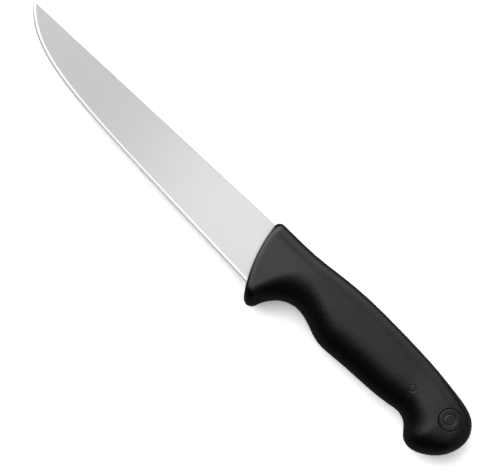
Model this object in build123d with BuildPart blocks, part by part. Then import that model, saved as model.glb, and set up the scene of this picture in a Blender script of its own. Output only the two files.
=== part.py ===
from build123d import *
import os
from math import radians, sin, sqrt, tan

# Boning knife with a moulded handle, lying on its side. Sizes are in millimetres.
# X runs along the knife from the tip (-X) to the butt (+X). +Y is the spine side, -Y the edge side,
# and the handle rests on Z = 0. The origin is under the middle of the knife's bounding box.
# Outlines are given as (distance from the tip, depth below the line of the spine).

OVERALL_LENGTH = 300.0
SPINE_Y = 16.7
HANDLE_THICKNESS = 20.0
MID_Z = HANDLE_THICKNESS / 2

# Blade. Its two sides are flat. They lean together a little to the tip and more to the edge.
EDGE_CURVE = [(0, 0), (8.94, 11.82), (28.09, 21.73), (47.3, 21.72), (176, 30.55)]
BLANK_HALF_THICKNESS = 2.0
TIP_HALF_THICKNESS = 0.62
GROWTH_TO_HEEL = 0.0032
GROWTH_TO_SPINE = 0.0255
WEDGE_TO_EDGE = 23.0
WEDGE_TO_BUTT = 60.0
SPINE_CHAMFER = 0.2

# Bevel that sharpens the edge
BEVEL_ANGLE = 15.0
BEVEL_CUTTER_WIDTH = 3.0
BEVEL_CUTTER_OVERHANG = 1.0
BEVEL_CUTTER_RUNOUT = 5.0

# Tang, hidden in the handle. Where it meets the blade it steps in by a hair on each side.
TANG_TOP = [(150, 0.4), (174, 0.4), (174, 2.6), (240, 4.4), (268, 6.2)]
TANG_BOTTOM = [(268, 15.8), (240, 16.4), (174, 16.8), (174, 28.0), (150, 28.0)]
TANG_HALF_THICKNESS = 1.1
TANG_STEP = 0.05
TANG_HOLES = [(190, 9.6), (214, 10.0), (238, 10.4)]
TANG_HOLE_RADIUS = 2.5
TANG_NOTCHES = [(256, 5.2), (256, 16.2)]
TANG_NOTCH_RADIUS = 2.0

# Handle, as seen from the side and in section
SPINE_SIDE = [(152, -3.2), (164, -2.95), (176, -2.65), (184, -2.65), (196, -3.45), (208, -4.4),
              (220, -4.75), (234, -4.35), (250, -3.45), (266, -2.05), (280, 0), (289, 1.85),
              (295, 4.8), (300, 14.7)]
EDGE_SIDE = [(152, 38), (172, 38), (176.5, 38), (179.2, 36.6), (181, 33), (183.2, 29.45), (187, 25.6),
             (195.5, 22.55), (204.5, 24.35), (213, 27.5), (226, 27.8), (245, 27.3), (260, 26.2),
             (266, 25.7), (271.5, 28.15), (276.5, 33.6), (281, 34.95), (289, 32.4), (296, 26.3),
             (300, 14.7)]
SPINE_ROUNDING = 0.15
EDGE_ROUNDING = 0.46
BUTT_ROUNDING = 10.0
# The sections are lofted a hair too thick and then cut off flat at the handle's thickness.
FLATTENED = 0.01
FIRST_SECTION = 154.0
SECTION_SPACING = 2.0
BUTT_SECTION_ANGLES = [11.5, 23, 34, 44, 53, 61, 68, 74]

# Front of the handle: an arc that bulges to the tip, with a rounded rim
FRONT_ARC = [(160.4, -6.0), (163.9, 17.2), (176.8, 41.0)]
FRONT_RIM_RADIUS = 1.5
ROOM_AHEAD_OF_TIP = 5.0

# Hard core, moulded round the tang before the outer grip
CORE_OUTLINE = [(178, 0.4), (205, -0.8), (222, -1.4), (266, 1.2), (284, 4.2), (291, 9), (291, 20),
                (285, 27), (279, 28), (268, 21), (258, 21.6), (214, 22.6), (200, 18.8), (178, 19.4)]
CORE_CORNER_RADIUS = 2.0
CORE_HALF_THICKNESS = 6.2
CORE_EDGE_RADIUS = 3.0
CORE_GROOVES = [186, 202, 218, 234, 250, 266]
CORE_GROOVE_WIDTH = 3.0
CORE_GROOVE_LENGTH = 12.0
CORE_GROOVE_DEPTH = 1.0
CORE_MIDDLE_DEPTH = 10.2

# Emblem disc near the butt, in a shallow pocket, and the moulding mark in front of it
DISC_CENTRE = (286.3, 11.6)
DISC_RADIUS = 5.4
DISC_THICKNESS = 1.2
DISC_SET_BACK = 0.3
DISC_GROOVE_RADIUS = 2.7
DISC_GROOVE_WIDTH = 0.6
DISC_GROOVE_DEPTH = 0.3
MARK_CENTRE = (262.8, 12.7)
MARK_RADIUS = 2.2
MARK_DEPTH = 0.3
MARK_NUB_RADIUS = 0.8


def plan(point):
    """Turn (distance from the tip, depth below the spine's line) into X and Y."""
    distance, depth = point
    return (distance - OVERALL_LENGTH / 2, SPINE_Y - depth)


def side_plane(inset):
    """The plane of the blade's upper side, moved into the steel by inset."""
    origin = (*plan((0, 0)), MID_Z + TIP_HALF_THICKNESS - inset)
    return Plane(origin=origin, z_dir=(-GROWTH_TO_HEEL, -GROWTH_TO_SPINE, 1))


def lower_side_plane(inset):
    """The plane of the blade's lower side, moved into the steel by inset."""
    origin = (*plan((0, 0)), MID_Z - TIP_HALF_THICKNESS + inset)
    return Plane(origin=origin, z_dir=(-GROWTH_TO_HEEL, -GROWTH_TO_SPINE, -1))


# Everything in front of the handle. It trims the blade, the tang and the handle along one arc.
with BuildPart() as ahead_of_handle:
    with BuildSketch(Plane.XY.offset(-HANDLE_THICKNESS)):
        with BuildLine():
            ThreePointArc(*[plan(point) for point in FRONT_ARC])
            Polyline(
                plan(FRONT_ARC[-1]),
                plan((-ROOM_AHEAD_OF_TIP, FRONT_ARC[-1][1])),
                plan((-ROOM_AHEAD_OF_TIP, FRONT_ARC[0][1])),
                plan(FRONT_ARC[0]),
            )
        make_face()
    extrude(amount=3 * HANDLE_THICKNESS)


# ---------------------------------------------------------------- blade and tang

# The wedge between the two flat sides. It is a prism along the line of equal thickness.
steepest_growth = sqrt(GROWTH_TO_HEEL**2 + GROWTH_TO_SPINE**2)
thin_half = TIP_HALF_THICKNESS - steepest_growth * WEDGE_TO_EDGE
thick_half = TIP_HALF_THICKNESS + steepest_growth * WEDGE_TO_BUTT
wedge_end = Plane(
    origin=(*plan((0, 0)), MID_Z),
    x_dir=(GROWTH_TO_HEEL, GROWTH_TO_SPINE, 0),
    z_dir=(GROWTH_TO_SPINE, -GROWTH_TO_HEEL, 0),
)
with BuildPart() as blade_wedge:
    with BuildSketch(wedge_end):
        with BuildLine():
            Polyline(
                (-WEDGE_TO_EDGE, thin_half),
                (WEDGE_TO_BUTT, thick_half),
                (WEDGE_TO_BUTT, -thick_half),
                (-WEDGE_TO_EDGE, -thin_half),
                close=True,
            )
        make_face()
    extrude(amount=OVERALL_LENGTH, both=True)

# The blade's outline between the flat sides, with the spine's two corners broken
with BuildPart() as ground_blade:
    with BuildSketch(Plane.XY.offset(MID_Z - BLANK_HALF_THICKNESS)):
        with BuildLine():
            Bezier(*[plan(point) for point in EDGE_CURVE])
            Polyline(plan(EDGE_CURVE[-1]), plan((EDGE_CURVE[-1][0], 0)), plan((0, 0)))
        make_face()
    extrude(amount=2 * BLANK_HALF_THICKNESS)
    add(blade_wedge.part, mode=Mode.INTERSECT)
    spine_face = ground_blade.faces().filter_by(Axis.Y).sort_by(Axis.Y)[-1]
    spine_corners = spine_face.edges().sort_by(SortBy.LENGTH)[-2:]
    chamfer(spine_corners, SPINE_CHAMFER)
    add(ahead_of_handle.part, mode=Mode.INTERSECT)

# The tang: stock of even thickness, full height inside the handle's front, then stepped down
with BuildPart() as tang:
    with BuildSketch(Plane.XY.offset(MID_Z - TANG_HALF_THICKNESS)):
        with BuildLine():
            Polyline(*[plan(point) for point in TANG_TOP + TANG_BOTTOM], close=True)
        make_face()
        with Locations(*[plan(point) for point in TANG_HOLES]):
            Circle(TANG_HOLE_RADIUS, mode=Mode.SUBTRACT)
        with Locations(*[plan(point) for point in TANG_NOTCHES]):
            Circle(TANG_NOTCH_RADIUS, mode=Mode.SUBTRACT)
    extrude(amount=2 * TANG_HALF_THICKNESS)
    split(bisect_by=side_plane(TANG_STEP), keep=Keep.BOTTOM)
    split(bisect_by=lower_side_plane(TANG_STEP), keep=Keep.BOTTOM)
    add(ahead_of_handle.part, mode=Mode.SUBTRACT)

# What the sharpening takes away: a notched bar swept along the edge and out past both its ends
with BuildLine(Plane.XY.offset(MID_Z)) as edge_path:
    edge_curve = Bezier(*[plan(point) for point in EDGE_CURVE])
    Line(edge_curve @ 0 - BEVEL_CUTTER_RUNOUT * (edge_curve % 0), edge_curve @ 0)
    Line(edge_curve @ 1, edge_curve @ 1 + BEVEL_CUTTER_RUNOUT * (edge_curve % 1))
cutter_start = edge_path.wire() @ 0
cutter_heading = edge_path.wire() % 0
into_blade = Vector(-cutter_heading.Y, cutter_heading.X, 0)
bevel_rise = BEVEL_CUTTER_WIDTH * tan(radians(BEVEL_ANGLE))
with BuildPart() as bevel_cutter:
    with BuildSketch(Plane(origin=cutter_start, x_dir=into_blade, z_dir=cutter_heading)):
        with BuildLine():
            Polyline(
                (0, 0),
                (BEVEL_CUTTER_WIDTH, bevel_rise),
                (-BEVEL_CUTTER_OVERHANG, bevel_rise),
                (-BEVEL_CUTTER_OVERHANG, -bevel_rise),
                (BEVEL_CUTTER_WIDTH, -bevel_rise),
                close=True,
            )
        make_face()
    sweep(path=edge_path.wire())

with BuildPart() as blade:
    add(ground_blade.part)
    add(tang.part)
    add(bevel_cutter.part, mode=Mode.SUBTRACT)


# ---------------------------------------------------------------- handle

with BuildLine() as spine_side:
    Spline([plan(point) for point in SPINE_SIDE], tangents=[(1, 0), (0, -1)])
with BuildLine() as edge_side:
    Spline([plan(point) for point in EDGE_SIDE], tangents=[(1, 0), (0, 1)])


def y_on(line, x):
    """The Y of a side line where it crosses X."""
    return line.edge().find_intersection_points(Axis((x, 0, 0), (0, 1, 0)))[0].Y


def handle_section(distance):
    """A slab with elliptical ends. The edge side is rounder than the spine side."""
    x = distance - OVERALL_LENGTH / 2
    top = y_on(spine_side, x)
    bottom = y_on(edge_side, x)
    into_butt = max(0.0, (distance - OVERALL_LENGTH + BUTT_ROUNDING) / BUTT_ROUNDING)
    half_thickness = (MID_Z + FLATTENED) * sqrt(1 - into_butt**2)
    top_flat = top - SPINE_ROUNDING * (top - bottom)
    bottom_flat = bottom + EDGE_ROUNDING * (top - bottom)
    low = MID_Z - half_thickness
    high = MID_Z + half_thickness
    with BuildSketch(Plane.YZ.offset(x)) as section:
        with BuildLine():
            EllipticalCenterArc((top_flat, MID_Z), top - top_flat, half_thickness, -90, arc_size=180)
            Line((top_flat, high), (bottom_flat, high))
            EllipticalCenterArc((bottom_flat, MID_Z), bottom_flat - bottom, half_thickness, 90, arc_size=180)
            Line((bottom_flat, low), (top_flat, low))
        make_face()
    return section.sketch.face()


butt_start = OVERALL_LENGTH - BUTT_ROUNDING
section_count = int((butt_start - FIRST_SECTION) / SECTION_SPACING) + 1
section_places = [FIRST_SECTION + SECTION_SPACING * number for number in range(section_count)]
section_places += [butt_start + BUTT_ROUNDING * sin(radians(angle)) for angle in BUTT_SECTION_ANGLES]
handle_sections = [handle_section(distance) for distance in section_places]
butt_point = Vertex(*plan(SPINE_SIDE[-1]), MID_Z)

with BuildPart() as handle:
    loft(sections=handle_sections + [butt_point])
    add(ahead_of_handle.part, mode=Mode.SUBTRACT)
    with BuildSketch(Plane.XY):
        Rectangle(2 * OVERALL_LENGTH, OVERALL_LENGTH)
    extrude(amount=HANDLE_THICKNESS, mode=Mode.INTERSECT)
    front_face = handle.faces().filter_by(GeomType.CYLINDER).sort_by(Axis.X)[0]
    fillet(front_face.edges(), FRONT_RIM_RADIUS)

with BuildPart() as handle_core:
    with BuildSketch(Plane.XY.offset(MID_Z - CORE_HALF_THICKNESS)):
        with BuildLine():
            Polyline(*[plan(point) for point in CORE_OUTLINE], close=True)
        make_face()
        fillet(vertices(), CORE_CORNER_RADIUS)
    extrude(amount=2 * CORE_HALF_THICKNESS)
    fillet(handle_core.faces().filter_by(Axis.Z).edges(), CORE_EDGE_RADIUS)
    for face_z, direction in ((MID_Z + CORE_HALF_THICKNESS, -1), (MID_Z - CORE_HALF_THICKNESS, 1)):
        with BuildSketch(Plane.XY.offset(face_z)):
            with Locations(*[plan((distance, CORE_MIDDLE_DEPTH)) for distance in CORE_GROOVES]):
                SlotOverall(CORE_GROOVE_LENGTH, CORE_GROOVE_WIDTH, rotation=90)
        extrude(amount=direction * CORE_GROOVE_DEPTH, mode=Mode.SUBTRACT)
    add(blade.part, mode=Mode.SUBTRACT)

disc_top = HANDLE_THICKNESS - DISC_SET_BACK
with BuildPart() as emblem_disc:
    with BuildSketch(Plane.XY.offset(disc_top - DISC_THICKNESS)):
        with Locations(plan(DISC_CENTRE)):
            Circle(DISC_RADIUS)
    extrude(amount=DISC_THICKNESS)
    with BuildSketch(Plane.XY.offset(disc_top)):
        with Locations(plan(DISC_CENTRE)):
            Circle(DISC_GROOVE_RADIUS + DISC_GROOVE_WIDTH / 2)
            Circle(DISC_GROOVE_RADIUS - DISC_GROOVE_WIDTH / 2, mode=Mode.SUBTRACT)
    extrude(amount=-DISC_GROOVE_DEPTH, mode=Mode.SUBTRACT)

with BuildPart() as handle_grip:
    add(handle.part)
    with BuildSketch(Plane.XY.offset(disc_top - DISC_THICKNESS)):
        with Locations(plan(DISC_CENTRE)):
            Circle(DISC_RADIUS)
    extrude(amount=HANDLE_THICKNESS, mode=Mode.SUBTRACT)
    with BuildSketch(Plane.XY.offset(HANDLE_THICKNESS - MARK_DEPTH)):
        with Locations(plan(MARK_CENTRE)):
            Circle(MARK_RADIUS)
            Circle(MARK_NUB_RADIUS, mode=Mode.SUBTRACT)
    extrude(amount=HANDLE_THICKNESS, mode=Mode.SUBTRACT)
    add(handle_core.part, mode=Mode.SUBTRACT)
    add(blade.part, mode=Mode.SUBTRACT)


# ---------------------------------------------------------------- output

os.makedirs("parts", exist_ok=True)
pieces = {
    "blade": blade,
    "handle_core": handle_core,
    "handle_grip": handle_grip,
    "emblem_disc": emblem_disc,
}
for name, piece in pieces.items():
    piece.part.label = name
    export_step(piece.part, f"parts/{name}.step")
    box = piece.part.bounding_box()
    print(name, len(piece.solids()), round(piece.part.volume, 1), piece.part.is_valid, box)
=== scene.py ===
from math import cos, hypot, pi, radians, sin, sqrt

import bmesh
import bpy
import numpy as np
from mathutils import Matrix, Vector


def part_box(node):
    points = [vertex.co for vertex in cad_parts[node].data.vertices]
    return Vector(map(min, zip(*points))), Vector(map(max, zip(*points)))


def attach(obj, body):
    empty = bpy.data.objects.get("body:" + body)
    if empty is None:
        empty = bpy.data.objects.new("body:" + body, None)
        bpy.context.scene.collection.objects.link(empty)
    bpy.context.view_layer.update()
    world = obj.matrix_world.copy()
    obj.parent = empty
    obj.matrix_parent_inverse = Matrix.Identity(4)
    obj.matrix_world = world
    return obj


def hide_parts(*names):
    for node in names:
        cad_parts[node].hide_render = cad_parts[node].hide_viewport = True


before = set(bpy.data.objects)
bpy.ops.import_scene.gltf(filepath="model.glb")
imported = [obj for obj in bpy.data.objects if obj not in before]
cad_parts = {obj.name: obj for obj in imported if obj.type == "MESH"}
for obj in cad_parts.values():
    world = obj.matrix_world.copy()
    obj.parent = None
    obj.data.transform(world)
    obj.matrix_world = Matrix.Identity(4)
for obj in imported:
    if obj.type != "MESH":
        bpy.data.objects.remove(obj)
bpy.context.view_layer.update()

MM = 0.001

# ---------------------------------------------------------------- places, from the frame
# Shapes are worked out in millimetres: distance from the tip, depth below the line of the spine,
# and height above the plane on which the knife lies.

BLADE_LOW, BLADE_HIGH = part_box("blade")
GRIP_LOW, GRIP_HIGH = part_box("handle_grip")
DISC_LOW, DISC_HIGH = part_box("emblem_disc")
TIP_X = BLADE_LOW[0]
SPINE_Y = BLADE_HIGH[1]
MID_Z = (GRIP_LOW[2] + GRIP_HIGH[2]) / 2 / MM
# The finer handle's top and underside stay this far inside the box of the CAD one.
ROOM_IN_BOX = 0.01
HALF_THICKNESS = (GRIP_HIGH[2] - GRIP_LOW[2]) / 2 / MM - ROOM_IN_BOX
OVERALL_LENGTH = 300.0


def place(distance, depth, height):
    return Vector((TIP_X + distance * MM, SPINE_Y - depth * MM, height * MM))


def plan_of(corner_low, corner_high):
    """Distance and depth of the middle of a box."""
    middle = (corner_low + corner_high) / 2
    return (middle[0] - TIP_X) / MM, (SPINE_Y - middle[1]) / MM


# ---------------------------------------------------------------- mesh helpers

# Points nearer to each other than this are joined. Lengths of finished meshes are in metres.
WELD_REACH = 5e-7


def smooth_line(points, start, end, steps=24):
    """Points along a cubic spline through the given ones, with given end directions."""
    p = np.array(points, float)
    gaps = np.hypot(*(p[1:] - p[:-1]).T)
    count = len(p)
    m = np.zeros((count, count))
    r = np.zeros((count, 2))
    m[0, 0] = m[-1, -1] = 1
    r[0], r[-1] = start, end
    for i in range(1, count - 1):
        a, b = gaps[i - 1], gaps[i]
        m[i, i - 1 : i + 2] = b, 2 * (a + b), a
        r[i] = 3 * (b * (p[i] - p[i - 1]) / a + a * (p[i + 1] - p[i]) / b)
    slope = np.linalg.solve(m, r)
    t = np.linspace(0, 1, steps, endpoint=False)[:, None]
    parts = []
    for i, h in enumerate(gaps):
        parts.append(
            (2 * t**3 - 3 * t**2 + 1) * p[i]
            + (t**3 - 2 * t**2 + t) * h * slope[i]
            + (-2 * t**3 + 3 * t**2) * p[i + 1]
            + (t**3 - t**2) * h * slope[i + 1]
        )
    return np.vstack(parts + [p[-1:]])


def mesh_object(name, verts, faces, smooth=True):
    """A new object from points and faces, with its faces turned outwards."""
    mesh = bpy.data.meshes.new(name)
    mesh.from_pydata([tuple(v) for v in verts], [], faces)
    bm = bmesh.new()
    bm.from_mesh(mesh)
    bmesh.ops.recalc_face_normals(bm, faces=bm.faces)
    bm.to_mesh(mesh)
    bm.free()
    for face in mesh.polygons:
        face.use_smooth = smooth
    made = bpy.data.objects.new(name, mesh)
    bpy.context.collection.objects.link(made)
    return made


def bake_modifiers(made):
    """Turn the shape that the modifiers give into the object's own mesh."""
    bpy.context.view_layer.update()
    shape = made.evaluated_get(bpy.context.evaluated_depsgraph_get())
    baked = bpy.data.meshes.new_from_object(shape)
    made.modifiers.clear()
    made.data = baked


def combine(piece, tool, operation="DIFFERENCE"):
    """Cut a tool out of a piece, or join it on. The tool is used up."""
    step = piece.modifiers.new("combine", "BOOLEAN")
    step.operation = operation
    step.solver = "EXACT"
    step.object = tool
    bake_modifiers(piece)
    bpy.data.objects.remove(tool)


def clean(mesh, reach=WELD_REACH, least_edge=WELD_REACH):
    """Join points that lie together, take out faces without area and turn the rest outwards."""
    bm = bmesh.new()
    bm.from_mesh(mesh)
    bmesh.ops.remove_doubles(bm, verts=bm.verts, dist=reach)
    bmesh.ops.dissolve_degenerate(bm, edges=bm.edges, dist=least_edge)
    bmesh.ops.recalc_face_normals(bm, faces=bm.faces)
    bm.to_mesh(mesh)
    bm.free()


def copy_of(original):
    """A closed copy of an object's bare shape, to cut or join with."""
    verts = [original.matrix_world @ vertex.co for vertex in original.data.vertices]
    made = mesh_object("copy", verts, [tuple(face.vertices) for face in original.data.polygons])
    clean(made.data)
    return made


def dress(piece, node, slot, *materials):
    """Give a piece its materials and put it in the place of a CAD node."""
    for material in materials:
        piece.data.materials.append(material)
    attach(piece, "root")
    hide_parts(node)


# ---------------------------------------------------------------- grip

SPINE_SIDE = [(152, -3.2), (164, -2.95), (176, -2.65), (184, -2.65), (196, -3.45), (208, -4.4),
              (220, -4.75), (234, -4.35), (250, -3.45), (266, -2.05), (280, 0), (289, 1.85),
              (295, 4.8), (300, 14.7)]
EDGE_SIDE = [(152, 38), (172, 38), (176.5, 38), (179.2, 36.6), (181, 33), (183.2, 29.45), (187, 25.6),
             (195.5, 22.55), (204.5, 24.35), (213, 27.5), (226, 27.8), (245, 27.3), (260, 26.2),
             (266, 25.7), (271.5, 28.15), (276.5, 33.6), (281, 34.95), (289, 32.4), (296, 26.3),
             (300, 14.7)]
# The arc of the handle's front, and the part of the handle in which it meets the sides
FRONT_CENTRE = (233.27, -5.06)
FRONT_RADIUS = 72.9
FRONT_REACH = (156, 184)
# How far the rounding reaches in from the edge side and from the spine side
EDGE_ROUNDING = [(160, 6), (168, 6.5), (173, 8.2), (178, 12.8), (182, 16), (187, 18), (194, 17.5),
                 (199, 15.2), (205, 14.2), (212, 15), (220, 17), (235, 17.4), (262, 16.8), (267, 15.5),
                 (272, 14.6), (276, 15.6), (280, 17), (284, 15.8), (288, 13.2), (291, 11.5), (294, 9),
                 (300, 9)]
SPINE_ROUNDING = [(160, 7.5), (282, 7.5), (290, 9), (300, 9)]
# Share of the thickness that stands as a wall at the spine side, the wall's own small rounding,
# the distance at which it ends and the length over which it fades there
SPINE_WALL = 0.5
WALL_ROUNDING = 0.9
WALL_END = 290.0
WALL_FADE = 20.0
# Half thickness of the handle relative to its thickest part: full at the guard and the pommel
THICKNESS = [(160, 0.90), (172, 0.945), (184, 0.985), (192, 1.0), (205, 0.97), (225, 0.93), (245, 0.91),
             (260, 0.905), (268, 0.93), (276, 0.975), (283, 1.0), (300, 1.0)]
# The tables above are read at this spacing over this range, and smoothed over this reach.
TABLE_RANGE = (140.0, 320.0)
TABLE_SPACING = 0.25
TABLE_SMOOTHING = 5.0
# 2 makes the sides turn over along an ellipse.
SQUARENESS = 2.0
# Sections fan round from the front to straight across, run on evenly, and crowd at the butt.
STRAIGHT_FROM = 197.0
FAN_STATIONS = 40
FAN_EASE = 1.5
STATION_SPACING = 1.4
BUTT_START = 290.0
BUTT_STATIONS = 18
# The front rim: its sections, how far it reaches in from the front and from the side at each end,
# and how far it turns down
RIM_STATIONS = 9
RIM_AT_SPINE = 3.6
RIM_AT_EDGE = 2.6
RIM_IN_HEIGHT = 2.6
# Shares of the way down the front face, closer together near the slot for the blade
FRONT_ROWS = (0.15, 0.27, 0.36, 0.42, 0.45, 0.47, 0.49, 0.51, 0.53, 0.55, 0.58, 0.64, 0.73, 0.85)
# Points across a section, and the shares of its width in which they crowd towards its two ends
ACROSS_ENDS = 22
ACROSS_MIDDLE = 28
SPINE_END = 0.2
EDGE_END = 0.5

top_line = smooth_line(SPINE_SIDE, (1, 0), (0, 1))
edge_line = smooth_line(EDGE_SIDE, (1, 0), (0, -1))


def depth_on(line, distance):
    """The value of a line or a table at a distance from the tip."""
    return float(np.interp(distance, line[:, 0], line[:, 1]))


def front_arc(depth, back):
    """Distance from the tip of the front's arc, moved back."""
    radius = FRONT_RADIUS - back
    return FRONT_CENTRE[0] - sqrt(radius**2 - (depth - FRONT_CENTRE[1]) ** 2)


def where_arc_meets(line, back, inset):
    """The depth at which the front arc, moved back, meets a side line moved in by inset."""
    near = line[(line[:, 0] > FRONT_REACH[0]) & (line[:, 0] < FRONT_REACH[1])]
    best = min(near, key=lambda point: abs(front_arc(point[1] + inset, back) - point[0]))
    return best[1] + inset


def plan_line_front(spine_back, edge_back, spine_inset, edge_inset, fractions):
    """Plan points across the front, which may lie further back and further in at either end."""
    first = where_arc_meets(top_line, spine_back, spine_inset)
    last = where_arc_meets(edge_line, edge_back, -edge_inset)
    out = []
    for w in fractions:
        depth = first + (last - first) * w
        back = spine_back + (edge_back - spine_back) * w
        out.append((front_arc(depth, back), depth))
    return np.array(out)


def table_line(points):
    """A table of values by distance from the tip, with its corners smoothed away."""
    grid = np.arange(*TABLE_RANGE, TABLE_SPACING)
    values = np.interp(grid, *np.array(points).T)
    reach = int(TABLE_SMOOTHING / TABLE_SPACING)
    kernel = np.hanning(2 * reach + 1)
    padded = np.pad(values, reach, mode="edge")
    return np.stack([grid, np.convolve(padded, kernel / kernel.sum(), mode="valid")], axis=1)


edge_rounding = table_line(EDGE_ROUNDING)
spine_rounding = table_line(SPINE_ROUNDING)
thickness_line = table_line(THICKNESS)


def turned(gap, reach):
    """Share of the full thickness at a gap from the outline."""
    inward = max(0.0, 1 - gap / reach)
    return max(0.0, 1 - inward**SQUARENESS) ** (1 / SQUARENESS)


def gap_to(line, here):
    """Distance from a place to a line of points."""
    start, step = line[:-1], line[1:] - line[:-1]
    along = ((here - start) * step).sum(1) / (step**2).sum(1)
    foot = start + np.clip(along, 0, 1)[:, None] * step
    return float(np.hypot(*(foot - here).T).min())


def half_height(distance, depth, ends=None):
    """Half thickness of the handle at a place, where a section's ends may lie inside the outline."""
    here = np.array([distance, depth])
    spine_gap = gap_to(top_line, here)
    edge_gap = gap_to(edge_line, here)
    if ends is not None:
        spine_gap = min(spine_gap, hypot(*(here - ends[0])))
        edge_gap = min(edge_gap, hypot(*(here - ends[1])))
    full = HALF_THICKNESS * depth_on(thickness_line, distance)
    upright = SPINE_WALL * min(1.0, max(0.0, (WALL_END - distance) / WALL_FADE))
    rounded = turned(spine_gap, depth_on(spine_rounding, distance))
    at_spine = upright * turned(spine_gap, WALL_ROUNDING) + (1 - upright) * rounded
    at_edge = turned(edge_gap, depth_on(edge_rounding, distance))
    return full * min(at_spine, at_edge)


def fractions_across():
    """Places along a section, closer together where its two ends turn over."""
    turn = np.linspace(0, pi / 2, ACROSS_ENDS)
    start = SPINE_END * (1 - np.cos(turn))
    end = 1 - EDGE_END * (1 - np.cos(turn[::-1]))
    middle = np.linspace(start[-1], end[0], ACROSS_MIDDLE + 2)[1:-1]
    return np.concatenate([start, middle, end])


def ring(points, scale=1.0):
    """A closed section over plan points from the spine side to the edge side."""
    ends = (np.array(points[0]), np.array(points[-1]))
    heights = [scale * half_height(d, e, ends) for d, e in points]
    heights[0] = heights[-1] = 0.0
    upper = [place(d, e, MID_Z + h) for (d, e), h in zip(points, heights)]
    lower = [place(d, e, MID_Z - h) for (d, e), h in zip(points, heights)][1:-1]
    return upper + lower[::-1]


def grip_rings():
    """The grip's closed sections, from its front face to just before the end of the butt."""
    rings = []
    fractions = fractions_across()
    # the front rim, turning from the front face to the sides
    for turn in np.linspace(0, pi / 2, RIM_STATIONS):
        back, inset = 1 - cos(turn), 1 - sin(turn)
        points = plan_line_front(
            RIM_AT_SPINE * back, RIM_AT_EDGE * back, RIM_AT_SPINE * inset, RIM_AT_EDGE * inset, fractions
        )
        rings.append(ring(points, 1 - RIM_IN_HEIGHT * inset / HALF_THICKNESS))
    # the guard: sections fan round from the front arc to straight across
    first = points
    run = edge_line[(edge_line[:, 0] >= first[-1][0]) & (edge_line[:, 0] <= STRAIGHT_FROM)]
    run_length = np.concatenate([[0], np.cumsum(np.hypot(*(run[1:] - run[:-1]).T))])
    for s in np.linspace(0, 1, FAN_STATIONS + 1)[1:]:
        spine_d = first[0][0] + (STRAIGHT_FROM - first[0][0]) * s
        start = np.array([spine_d, depth_on(top_line, spine_d)])
        end_d = float(np.interp(s * run_length[-1], run_length, run[:, 0]))
        end = np.array([end_d, depth_on(edge_line, end_d)])
        chord = first[0] + (first[-1] - first[0]) * fractions[:, None]
        bow = (first - chord) * (1 - s) ** FAN_EASE
        rings.append(ring(start + (end - start) * fractions[:, None] + bow))
    # the straight run and the pommel
    count = int((BUTT_START - STRAIGHT_FROM) / STATION_SPACING)
    places = list(np.linspace(STRAIGHT_FROM, BUTT_START, count)[1:])
    reach = OVERALL_LENGTH - BUTT_START
    places += [BUTT_START + reach * sin(t) for t in np.linspace(0, pi / 2, BUTT_STATIONS)[1:-1]]
    for d in places:
        start = np.array([d, depth_on(top_line, d)])
        end = np.array([d, depth_on(edge_line, d)])
        rings.append(ring(start + (end - start) * fractions[:, None]))
    return rings


def build_grip():
    """The outside of the grip as one closed mesh."""
    rings = grip_rings()
    size = len(rings[0])
    verts = [v for one in rings for v in one]
    faces = []
    for k in range(len(rings) - 1):
        for i in range(size):
            j = (i + 1) % size
            faces.append((k * size + i, k * size + j, (k + 1) * size + j, (k + 1) * size + i))
    # the front face: columns from the upper half of its rim down to the lower half
    half = (size - 2) // 2
    columns = []
    for i in range(1, half + 1):
        upper, lower = verts[i], verts[size - i]
        start = len(verts)
        verts += [upper.lerp(lower, share) for share in FRONT_ROWS]
        columns.append([i] + list(range(start, len(verts))) + [size - i])
    for one, other in zip(columns, columns[1:]):
        faces += [(one[r], other[r], other[r + 1], one[r + 1]) for r in range(len(one) - 1)]
    for end, column in ((0, columns[0]), (half + 1, columns[-1])):
        faces += [(end, column[r], column[r + 1]) for r in range(len(column) - 1)]
    # the end of the butt
    tip = len(verts)
    verts.append(place(OVERALL_LENGTH, SPINE_SIDE[-1][1], MID_Z))
    last = (len(rings) - 1) * size
    for i in range(size):
        faces.append((last + i, last + (i + 1) % size, tip))
    return mesh_object("grip", verts, faces)


# ---------------------------------------------------------------- blade

# Control points of the edge's curve, which is a Bezier curve
EDGE_CURVE = [(0, 0), (8.94, 11.82), (28.09, 21.73), (47.3, 21.72), (176, 30.55)]
# The flat sides lean together to the tip and to the edge. Near the tip they are ground thinner,
# to these shares at the tip, halfway and at the end of that length.
TIP_HALF_THICKNESS = 0.62
GROWTH_TO_HEEL = 0.0020
GROWTH_TO_SPINE = 0.0262
TIP_TAPER_LENGTH = 50.0
TIP_TAPER = (0.6, 0.85, 1.0)
# The bright bevel runs from the flat side to the narrow strip that the last honing leaves.
EDGE_HALF_THICKNESS = 0.01
HONED_WIDTH = 0.95
BEVEL_SLOPE = 0.07
BEVEL_WIDTH = 1.8
SPINE_BREAK = 0.2
# Columns along the edge, which crowd towards the tip, and rows over the flat side
EDGE_POINTS = 260
EDGE_CROWDING = 1.6
FACE_ROWS = 6
BLADE_SHARP_ANGLE = radians(2.0)
# In metres: points nearer than this are joined, and shorter edges than the second are taken out.
BLADE_WELD = 1e-6
BLADE_LEAST_EDGE = 1e-7
# The blade's material slots
FACE, BEVEL, HONED = 0, 1, 2
# Two opposite corners of the space inside the handle that holds the tang
TANG_SPACE = ((171.0, 40.0, 0.0), (270.0, -10.0, 20.0))


def edge_point(t):
    """A point of the edge and the direction from it into the blade."""
    p = np.array(EDGE_CURVE, float)
    while len(p) > 2:
        p = p[:-1] * (1 - t) + p[1:] * t
    heading = (p[1] - p[0]) / hypot(*(p[1] - p[0]))
    return p[0] * (1 - t) + p[1] * t, np.array([heading[1], -heading[0]])


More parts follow.
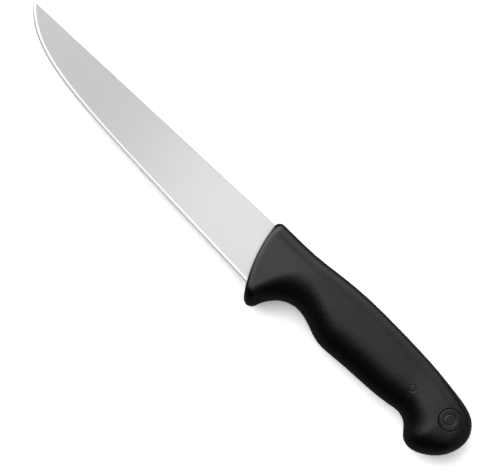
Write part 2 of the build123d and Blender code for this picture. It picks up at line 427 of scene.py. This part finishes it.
def side_half_thickness(distance, depth):
    """Half thickness of the blade's flat side, which is ground thinner near the tip."""
    taper = float(np.interp(distance, [0, TIP_TAPER_LENGTH / 2, TIP_TAPER_LENGTH], TIP_TAPER))
    return taper * (TIP_HALF_THICKNESS + GROWTH_TO_HEEL * distance - GROWTH_TO_SPINE * depth)


def edge_half_thickness(inset, flat):
    """Half thickness near the edge: the steeper honed strip, then the bevel up to the flat side."""
    at_honed = flat - BEVEL_SLOPE * (BEVEL_WIDTH - HONED_WIDTH)
    return float(np.interp(inset, [0, HONED_WIDTH, BEVEL_WIDTH], [EDGE_HALF_THICKNESS, at_honed, flat]))


def cad_tang():
    """The part of the CAD blade that lies inside the handle, with its holes and notches."""
    low, high = place(*TANG_SPACE[0]), place(*TANG_SPACE[1])
    xs, ys, zs = zip(low, high)
    corners = [(x, y, z) for x in xs for y in ys for z in zs]
    sides = [(0, 1, 3, 2), (4, 6, 7, 5), (0, 4, 5, 1), (2, 3, 7, 6), (0, 2, 6, 4), (1, 5, 7, 3)]
    tang = copy_of(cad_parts["blade"])
    combine(tang, mesh_object("inside_handle", corners, sides, smooth=False), "INTERSECT")
    return tang


def build_blade():
    """Rows run along the blade. Each column goes from the edge over one side to the spine."""
    columns = []
    for t in np.linspace(0, 1, EDGE_POINTS) ** EDGE_CROWDING:
        start, inward = edge_point(t)
        room = start[1] / -inward[1]
        column = []
        for inset in (0.0, HONED_WIDTH, BEVEL_WIDTH):
            inset = min(inset, room)
            d, e = start + inset * inward
            flat = side_half_thickness(d, e)
            column.append((d, e, min(edge_half_thickness(inset, flat), flat)))
        d, e, h = column[-1]
        for k in range(1, FACE_ROWS + 1):
            row = e + (min(SPINE_BREAK, e) - e) * k / FACE_ROWS
            thickest = h + GROWTH_TO_SPINE * (e - row)
            column.append((d, row, min(side_half_thickness(d, row), thickest)))
        at_spine = column[-1][2] - SPINE_BREAK * min(1, e / SPINE_BREAK)
        column.append((d, 0.0, max(at_spine, 0.0)))
        columns.append(column)
    verts, faces, finishes = [], [], []
    rows = len(columns[0])
    for side in (1, -1):
        base = len(verts)
        for column in columns:
            verts += [place(d, e, MID_Z + side * h) for d, e, h in column]
        for c in range(EDGE_POINTS - 1):
            for r in range(rows - 1):
                a = base + c * rows + r
                faces.append((a, a + 1, a + rows + 1, a + rows))
                finishes.append({0: HONED, 1: BEVEL}.get(r, FACE))
    other = EDGE_POINTS * rows
    for c in range(EDGE_POINTS - 1):
        # across the edge, and across the spine
        for r in (0, rows - 1):
            a, b = c * rows + r, (c + 1) * rows + r
            faces.append((a, b, b + other, a + other))
    last = (EDGE_POINTS - 1) * rows
    for r in range(rows - 1):
        faces.append((last + r, last + r + 1, last + r + 1 + other, last + r + other))
    blade = mesh_object("blade_with_tang", verts, faces)
    for face, finish in zip(blade.data.polygons, finishes):
        face.material_index = finish
    clean(blade.data, BLADE_WELD, BLADE_LEAST_EDGE)
    combine(blade, cad_tang(), "UNION")
    for face in blade.data.polygons:
        face.use_smooth = True
    blade.data.set_sharp_from_angle(angle=BLADE_SHARP_ANGLE)
    return blade


# ---------------------------------------------------------------- camera and stage

# Lengths for the camera, the stage and the lights are in metres. Only the sensor's is in millimetres.
PHOTO_ROLL = radians(42.89)
CAMERA_PLACE = (0.0018, 0.0, 1.60)
CAMERA_SEES_TO = 20.0
SENSOR_WIDTH = 36.0
VIEW_WIDTH = 0.23135


def make_camera():
    """Straight above the knife, turned so that the knife lies along the picture's diagonal."""
    data = bpy.data.cameras.new("photo_camera")
    data.sensor_width = SENSOR_WIDTH
    data.lens = data.sensor_width * (CAMERA_PLACE[2] - MID_Z * MM) / VIEW_WIDTH
    data.clip_end = CAMERA_SEES_TO
    camera = bpy.data.objects.new("photo_camera", data)
    camera.location = CAMERA_PLACE
    camera.rotation_euler = (0.0, 0.0, PHOTO_ROLL)
    bpy.context.collection.objects.link(camera)
    bpy.context.scene.camera = camera


FLOOR_HALF_WIDTH = 4.0
PAPER_ROUGHNESS = 0.9
PAPER = (0.96, 0.96, 0.96, 1.0)
PAPER_IN_REFLECTIONS = (0.11, 0.11, 0.11, 1.0)
PAPER_GLOW = 0.2


def make_floor():
    """Pale paper that glows a little. It is darker in reflections, as a small sheet would be."""
    half = FLOOR_HALF_WIDTH
    corners = [(-half, -half, 0), (half, -half, 0), (half, half, 0), (-half, half, 0)]
    floor = mesh_object("floor", corners, [(0, 1, 2, 3)], smooth=False)
    paper = bpy.data.materials.new("floor_paper")
    paper.use_nodes = True
    tree = paper.node_tree
    shader = tree.nodes["Principled BSDF"]
    shader.inputs["Roughness"].default_value = PAPER_ROUGHNESS
    shader.inputs["Specular IOR Level"].default_value = 0.0
    rays = tree.nodes.new("ShaderNodeLightPath")
    tone = tree.nodes.new("ShaderNodeMix")
    tone.data_type = "RGBA"
    tone.inputs["A"].default_value = PAPER
    tone.inputs["B"].default_value = PAPER_IN_REFLECTIONS
    tree.links.new(rays.outputs["Is Glossy Ray"], tone.inputs["Factor"])
    tree.links.new(tone.outputs["Result"], shader.inputs["Base Color"])
    shader.inputs["Emission Color"].default_value = (1, 1, 1, 1)
    glow = tree.nodes.new("ShaderNodeMapRange")
    glow.inputs["To Min"].default_value = PAPER_GLOW
    glow.inputs["To Max"].default_value = 0.0
    tree.links.new(rays.outputs["Is Glossy Ray"], glow.inputs["Value"])
    tree.links.new(glow.outputs["Result"], shader.inputs["Emission Strength"])
    floor.data.materials.append(paper)


# The studio's brightness by direction. A fade runs between two values of a direction's share.
# The sky's full level, and the side on which it turns dark
SKY_LEVEL = 1.42
DARK_SIDE = (0.08, -0.997, 0)
SKY_DARK = 0.01
SKY_TURN = (0.2, 0.42)
# By height: brighter lower down, then weaker again near the horizon, with a faint glow there
HORIZON_FADE = (0.5, 1.0)
HORIZON_LEVEL = 1.6
LOW_FADE = (-0.1, 0.4)
LOW_LEVEL = 0.25
GLOW_FADE = (0.1, 0.5)
GLOW_LEVEL = 0.13
# Along the knife: the share of X and the level there, at each end of the fade
TOWARDS_TIP = (-0.6, 2.4)
TOWARDS_BUTT = (0.25, 0.55)
# Beyond that the level falls once more.
BUTT_FADE = (0.25, 0.75)
BUTT_LEVEL = 0.3
# A small softbox
LOW_LIGHT_PLACE = (0.012, 0.004, 0.34)
LOW_LIGHT_SIZE = 0.17
LOW_LIGHT_POWER = 0.085


def sky_factor(tree, source, low, high, at_low, at_high):
    """A smooth step of a direction's share, from at_low to at_high."""
    step = tree.nodes.new("ShaderNodeMapRange")
    step.interpolation_type = "SMOOTHSTEP"
    step.inputs["From Min"].default_value = low
    step.inputs["From Max"].default_value = high
    step.inputs["To Min"].default_value = at_low
    step.inputs["To Max"].default_value = at_high
    tree.links.new(source, step.inputs["Value"])
    return step.outputs["Result"]


def times(tree, first, second):
    """The product of two sockets."""
    node = tree.nodes.new("ShaderNodeMath")
    node.operation = "MULTIPLY"
    tree.links.new(first, node.inputs[0])
    tree.links.new(second, node.inputs[1])
    return node.outputs["Value"]


def make_sky():
    """Studio light from above and from the spine side. It is dark on the edge side."""
    world = bpy.data.worlds.new("studio")
    world.use_nodes = True
    tree = world.node_tree
    back = tree.nodes["Background"]
    back.inputs["Color"].default_value = (1, 1, 1, 1)
    where = tree.nodes.new("ShaderNodeTexCoord")
    lean = tree.nodes.new("ShaderNodeVectorMath")
    lean.operation = "DOT_PRODUCT"
    lean.inputs[1].default_value = DARK_SIDE
    parts = tree.nodes.new("ShaderNodeSeparateXYZ")
    tree.links.new(where.outputs["Generated"], lean.inputs[0])
    tree.links.new(where.outputs["Generated"], parts.inputs["Vector"])
    main = sky_factor(tree, lean.outputs["Value"], *SKY_TURN, SKY_LEVEL, SKY_DARK)
    rise = sky_factor(tree, parts.outputs["Z"], *HORIZON_FADE, HORIZON_LEVEL, 1.0)
    along = sky_factor(
        tree, parts.outputs["X"], TOWARDS_TIP[0], TOWARDS_BUTT[0], TOWARDS_TIP[1], TOWARDS_BUTT[1]
    )
    beyond_butt = sky_factor(tree, parts.outputs["X"], *BUTT_FADE, 1.0, BUTT_LEVEL)
    low = sky_factor(tree, parts.outputs["Z"], *LOW_FADE, LOW_LEVEL, 1.0)
    glow = sky_factor(tree, parts.outputs["Z"], *GLOW_FADE, GLOW_LEVEL, 0.0)
    total = tree.nodes.new("ShaderNodeMath")
    lit = times(tree, times(tree, main, times(tree, rise, low)), times(tree, along, beyond_butt))
    tree.links.new(lit, total.inputs[0])
    tree.links.new(glow, total.inputs[1])
    tree.links.new(total.outputs["Value"], back.inputs["Strength"])
    bpy.context.scene.world = world


def local_light():
    """A small softbox low over the middle of the knife."""
    data = bpy.data.lights.new("low_softbox", "AREA")
    data.shape = "DISK"
    data.size = LOW_LIGHT_SIZE
    data.energy = LOW_LIGHT_POWER
    light = bpy.data.objects.new("low_softbox", data)
    light.location = LOW_LIGHT_PLACE
    light.visible_camera = False
    bpy.context.collection.objects.link(light)


make_camera()
make_floor()
make_sky()
bpy.context.scene.view_settings.view_transform = "Standard"
local_light()


# ---------------------------------------------------------------- materials

# Most values of a noise lie between these two.
NOISE_RANGE = (0.3, 0.7)
# Plastic: how far its roughness strays, how much smoother its proud edges are and how proud they
# have to be, the levels of its colour, and the depths of its two grains as multiples of one length
PLASTIC_IOR = 1.36
PLASTIC_UNEVEN = (-0.025, 0.035)
PROUD_RANGE = (0.52, 0.6)
PROUD_POLISH = -0.06
PLASTIC_LEVELS = (0.0002, 0.0012)
COARSE_DEPTH = 5
FINE_DEPTH = 2
# Steel: the streaks run across the blade, and their depth is in metres. Its roughness strays by this.
STREAK_STRETCH = (2600, 45, 45)
STREAK_DEPTH = 0.0000003
STEEL_UNEVEN = 0.01


class Finish:
    """A Principled material with its texture nodes in the knife's own coordinates."""

    def __init__(self, name, metallic=0.0, ior=1.45):
        self.material = bpy.data.materials.new(name)
        self.material.use_nodes = True
        self.tree = self.material.node_tree
        self.shader = self.tree.nodes["Principled BSDF"]
        self.shader.inputs["Metallic"].default_value = metallic
        self.shader.inputs["IOR"].default_value = ior
        self.where = self.tree.nodes.new("ShaderNodeTexCoord").outputs["Object"]

    def link(self, source, target):
        """Link one socket to another."""
        self.tree.links.new(source, target)

    def stretched(self, scale):
        """The knife's coordinates, scaled by different amounts along X, Y and Z."""
        mapping = self.tree.nodes.new("ShaderNodeMapping")
        mapping.inputs["Scale"].default_value = scale
        self.link(self.where, mapping.inputs["Vector"])
        return mapping.outputs["Vector"]

    def noise(self, scale, detail=2.0, stretch=(1, 1, 1)):
        """Noise whose grains are about 1 / scale metres across."""
        node = self.tree.nodes.new("ShaderNodeTexNoise")
        node.inputs["Scale"].default_value = scale
        node.inputs["Detail"].default_value = detail
        self.link(self.stretched(stretch), node.inputs["Vector"])
        return node.outputs["Fac"]

    def share(self, source, low, high, at_low, at_high):
        """A value that runs from at_low to at_high while the source runs from low to high."""
        node = self.tree.nodes.new("ShaderNodeMapRange")
        ends = (("From Min", low), ("From Max", high), ("To Min", at_low), ("To Max", at_high))
        for socket, value in ends:
            node.inputs[socket].default_value = value
        self.link(source, node.inputs["Value"])
        return node.outputs["Result"]

    def math(self, operation, first, second):
        """Two values combined, each of them a socket or a plain number."""
        node = self.tree.nodes.new("ShaderNodeMath")
        node.operation = operation
        for socket, value in zip(node.inputs, (first, second)):
            if isinstance(value, float):
                socket.default_value = value
            else:
                self.link(value, socket)
        return node.outputs["Value"]

    def grey(self, level):
        """Links a level to the base colour."""
        node = self.tree.nodes.new("ShaderNodeCombineColor")
        for socket in ("Red", "Green", "Blue"):
            self.link(level, node.inputs[socket])
        self.link(node.outputs["Color"], self.shader.inputs["Base Color"])

    def bump(self, *layers):
        """Layers are (height, depth in metres), the later ones on top."""
        normal = None
        for height, depth in layers:
            node = self.tree.nodes.new("ShaderNodeBump")
            node.inputs["Distance"].default_value = depth
            self.link(height, node.inputs["Height"])
            if normal is not None:
                self.link(normal, node.inputs["Normal"])
            normal = node.outputs["Normal"]
        self.link(normal, self.shader.inputs["Normal"])


def black_plastic(name, rough, grain):
    """Moulded black plastic with a fine and a coarse grain, uneven gloss, and polished proud edges."""
    finish = Finish(name, ior=PLASTIC_IOR)
    fine = finish.noise(scale=3600, detail=3)
    coarse = finish.noise(scale=900, detail=2)
    patches = finish.noise(scale=45, detail=3)
    proud = finish.tree.nodes.new("ShaderNodeNewGeometry").outputs["Pointiness"]
    wear = finish.share(proud, *PROUD_RANGE, 0.0, PROUD_POLISH)
    smoother, rougher = PLASTIC_UNEVEN
    uneven = finish.share(patches, *NOISE_RANGE, rough + smoother, rough + rougher)
    finish.link(finish.math("ADD", uneven, wear), finish.shader.inputs["Roughness"])
    finish.grey(finish.share(coarse, *NOISE_RANGE, *PLASTIC_LEVELS))
    finish.bump((coarse, grain * COARSE_DEPTH), (fine, grain * FINE_DEPTH))
    return finish.material


def ground_steel(name, tip_tone_with_painted_light, heel_tone_with_painted_light, painted_light_fade_length, rough, streaks):
    """Steel ground across the blade, with streaks. Its tone fades from the tip over a length: painted
    light along the blade.
    """
    finish = Finish(name, metallic=1.0)
    lines = finish.noise(scale=1.0, detail=4, stretch=STREAK_STRETCH)
    clouds = finish.noise(scale=30, detail=3)
    parts = finish.tree.nodes.new("ShaderNodeSeparateXYZ")
    finish.link(finish.where, parts.inputs["Vector"])
    # Tone that runs from its value at the tip to its value at the heel: painted light along the blade.
    level = finish.share(parts.outputs["X"], TIP_X, TIP_X + painted_light_fade_length, tip_tone_with_painted_light, heel_tone_with_painted_light)
    tone = finish.share(lines, *NOISE_RANGE, 1 - streaks, 1 + streaks)
    finish.grey(finish.math("MULTIPLY", level, tone))
    gloss = finish.share(lines, *NOISE_RANGE, -STEEL_UNEVEN, STEEL_UNEVEN)
    cloud = finish.share(clouds, *NOISE_RANGE, rough - STEEL_UNEVEN, rough + STEEL_UNEVEN)
    finish.link(finish.math("ADD", gloss, cloud), finish.shader.inputs["Roughness"])
    finish.bump((lines, STREAK_DEPTH))
    return finish.material


# The plain sides are a little darker at the tip than at the heel: painted shade.
steel = ground_steel(
    "ground_steel", tip_tone_with_painted_light=0.34, heel_tone_with_painted_light=0.345, painted_light_fade_length=0.16, rough=0.29, streaks=0.003
)
bevel_steel = ground_steel(
    "bevel_steel", tip_tone_with_painted_light=0.66, heel_tone_with_painted_light=0.66, painted_light_fade_length=0.16, rough=0.2, streaks=0.02
)
# The honed strip is brighter towards the tip than at the heel: painted light.
honed_steel = ground_steel(
    "honed_steel", tip_tone_with_painted_light=0.47, heel_tone_with_painted_light=0.38, painted_light_fade_length=0.045, rough=0.24, streaks=0.02
)
grip_black = black_plastic("grip_plastic", rough=0.28, grain=0.00001)
disc_black = black_plastic("disc_plastic", rough=0.25, grain=0.000006)
core_black = black_plastic("core_plastic", rough=0.35, grain=0.00001)


# ---------------------------------------------------------------- disc, pocket and mark

ROUND_SIDES = 96
# The pocket is a little wider than the disc and has a chamfer. Tools reach out past the surface.
POCKET_GAP = 0.2
POCKET_CHAMFER = 0.45
CUTTER_REACH = 2.0
# The disc lies this far under the handle's surface, with a rounded rim and a ring groove.
DISC_SUNK = 0.1
DISC_RIM = 0.4
DISC_RING_RADIUS = 2.7
DISC_RING_WIDTH = 0.5
DISC_RING_DEPTH = 0.13
DISC_RADII = (0.7, 1.4, 2.0, 2.2, 2.35, 2.5, 2.6, 2.7, 2.8, 2.9, 3.05, 3.2, 3.4, 3.9, 4.4, 4.8)
DISC_RIM_SHARES = (1, 0.75, 0.5, 0.3, 0.15, 0.05, 0)
DISC_SHARP_ANGLE = radians(30)
GRIP_SHARP_ANGLE = radians(35)
# The moulding mark is a shallow ring, left by a ring tool of round section that stands proud.
MARK_PLACE = (262.8, 12.7)
MARK_RADIUS = 1.7
MARK_SECTION = 0.5
MARK_RAISED = 0.35
MARK_SECTION_SIDES = 24


def around(middle, radius, k):
    """One of the evenly spaced plan points of a circle."""
    turn = 2 * pi * k / ROUND_SIDES
    return middle[0] + radius * cos(turn), middle[1] + radius * sin(turn)


def surface(distance, depth):
    """Height of the handle's upper side."""
    return MID_Z + half_height(distance, depth)


def band(start, next_start, count):
    """Faces between two closed rows of points."""
    out = []
    for k in range(count):
        j = (k + 1) % count
        out.append((start + k, start + j, next_start + j, next_start + k))
    return out


def fan(start, centre, count):
    """Faces between a closed row of points and one point."""
    return [(start + k, start + (k + 1) % count, centre) for k in range(count)]


def closed_rows(name, rows, low_centre, high_centre, smooth):
    """A solid of closed rows of points from its underside to its top."""
    count = len(rows[0])
    verts = [v for row in rows for v in row] + [low_centre, high_centre]
    last = (len(rows) - 1) * count
    faces = fan(0, last + count, count) + fan(last, last + count + 1, count)
    for k in range(len(rows) - 1):
        faces += band(k * count, (k + 1) * count, count)
    return mesh_object(name, verts, faces, smooth)


def pocket_cutter(middle, radius, floor):
    """A round tool whose side opens into a chamfer where it leaves the handle's surface."""
    plan = [around(middle, radius, k) for k in range(ROUND_SIDES)]
    wide = [around(middle, radius + POCKET_CHAMFER + CUTTER_REACH, k) for k in range(ROUND_SIDES)]
    rims = [surface(d, e) for d, e in plan]
    rows = [
        [place(d, e, floor) for d, e in plan],
        [place(d, e, rim - POCKET_CHAMFER) for (d, e), rim in zip(plan, rims)],
        [place(d, e, rim + CUTTER_REACH) for (d, e), rim in zip(wide, rims)],
    ]
    top = surface(*middle) + CUTTER_REACH
    return closed_rows("pocket_cutter", rows, place(*middle, floor), place(*middle, top), False)


def mark_cutter():
    """A ring of round section that leaves a shallow round-bottomed groove."""
    verts, faces = [], []
    for k in range(ROUND_SIDES):
        middle_height = surface(*around(MARK_PLACE, MARK_RADIUS, k)) + MARK_RAISED
        for i in range(MARK_SECTION_SIDES):
            turn = 2 * pi * i / MARK_SECTION_SIDES
            d, e = around(MARK_PLACE, MARK_RADIUS + MARK_SECTION * cos(turn), k)
            verts.append(place(d, e, middle_height + MARK_SECTION * sin(turn)))
        following = (k + 1) % ROUND_SIDES
        faces += band(k * MARK_SECTION_SIDES, following * MARK_SECTION_SIDES, MARK_SECTION_SIDES)
    return mesh_object("mark_cutter", verts, faces)


def disc_top(radius, full_radius, distance, depth):
    """Height of the disc: it follows the handle, with a ring groove and a rounded rim."""
    level = min(DISC_HIGH[2] / MM, surface(distance, depth) - DISC_SUNK)
    in_ring = max(0.0, 1 - abs(radius - DISC_RING_RADIUS) / DISC_RING_WIDTH)
    in_rim = max(0.0, 1 - (full_radius - radius) / DISC_RIM)
    return level - DISC_RING_DEPTH * in_ring - DISC_RIM * (1 - sqrt(max(0.0, 1 - in_rim**2)))


def build_disc(middle, radius):
    """The round disc, from its flat underside to its shaped top."""
    floor = DISC_LOW[2] / MM
    radii = list(DISC_RADII) + [radius - DISC_RIM * share for share in DISC_RIM_SHARES]
    rows = [[place(*around(middle, radius, k), floor) for k in range(ROUND_SIDES)]]
    for r in reversed(radii):
        plan = [around(middle, r, k) for k in range(ROUND_SIDES)]
        rows.append([place(d, e, disc_top(r, radius, d, e)) for d, e in plan])
    top = place(*middle, disc_top(0.0, radius, *middle))
    return closed_rows("emblem", rows, place(*middle, floor), top, True)


# ---------------------------------------------------------------- the pieces

grip = build_grip()
disc_place = plan_of(DISC_LOW, DISC_HIGH)
disc_radius = (DISC_HIGH[0] - DISC_LOW[0]) / 2 / MM
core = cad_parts["handle_core"]
blade = build_blade()
combine(grip, pocket_cutter(disc_place, disc_radius + POCKET_GAP, DISC_LOW[2] / MM))
combine(grip, mark_cutter())
combine(grip, copy_of(core))
combine(grip, copy_of(blade))
clean(grip.data)
grip.data.set_sharp_from_angle(angle=GRIP_SHARP_ANGLE)
dress(grip, "handle_grip", "grip_plastic", grip_black)

dress(blade, "blade", "blade_steel", steel, bevel_steel, honed_steel)
disc = build_disc(disc_place, disc_radius)
disc.data.set_sharp_from_angle(angle=DISC_SHARP_ANGLE)
dress(disc, "emblem_disc", "disc_plastic", disc_black)

core.data.materials.clear()
core.data.materials.append(core_black)
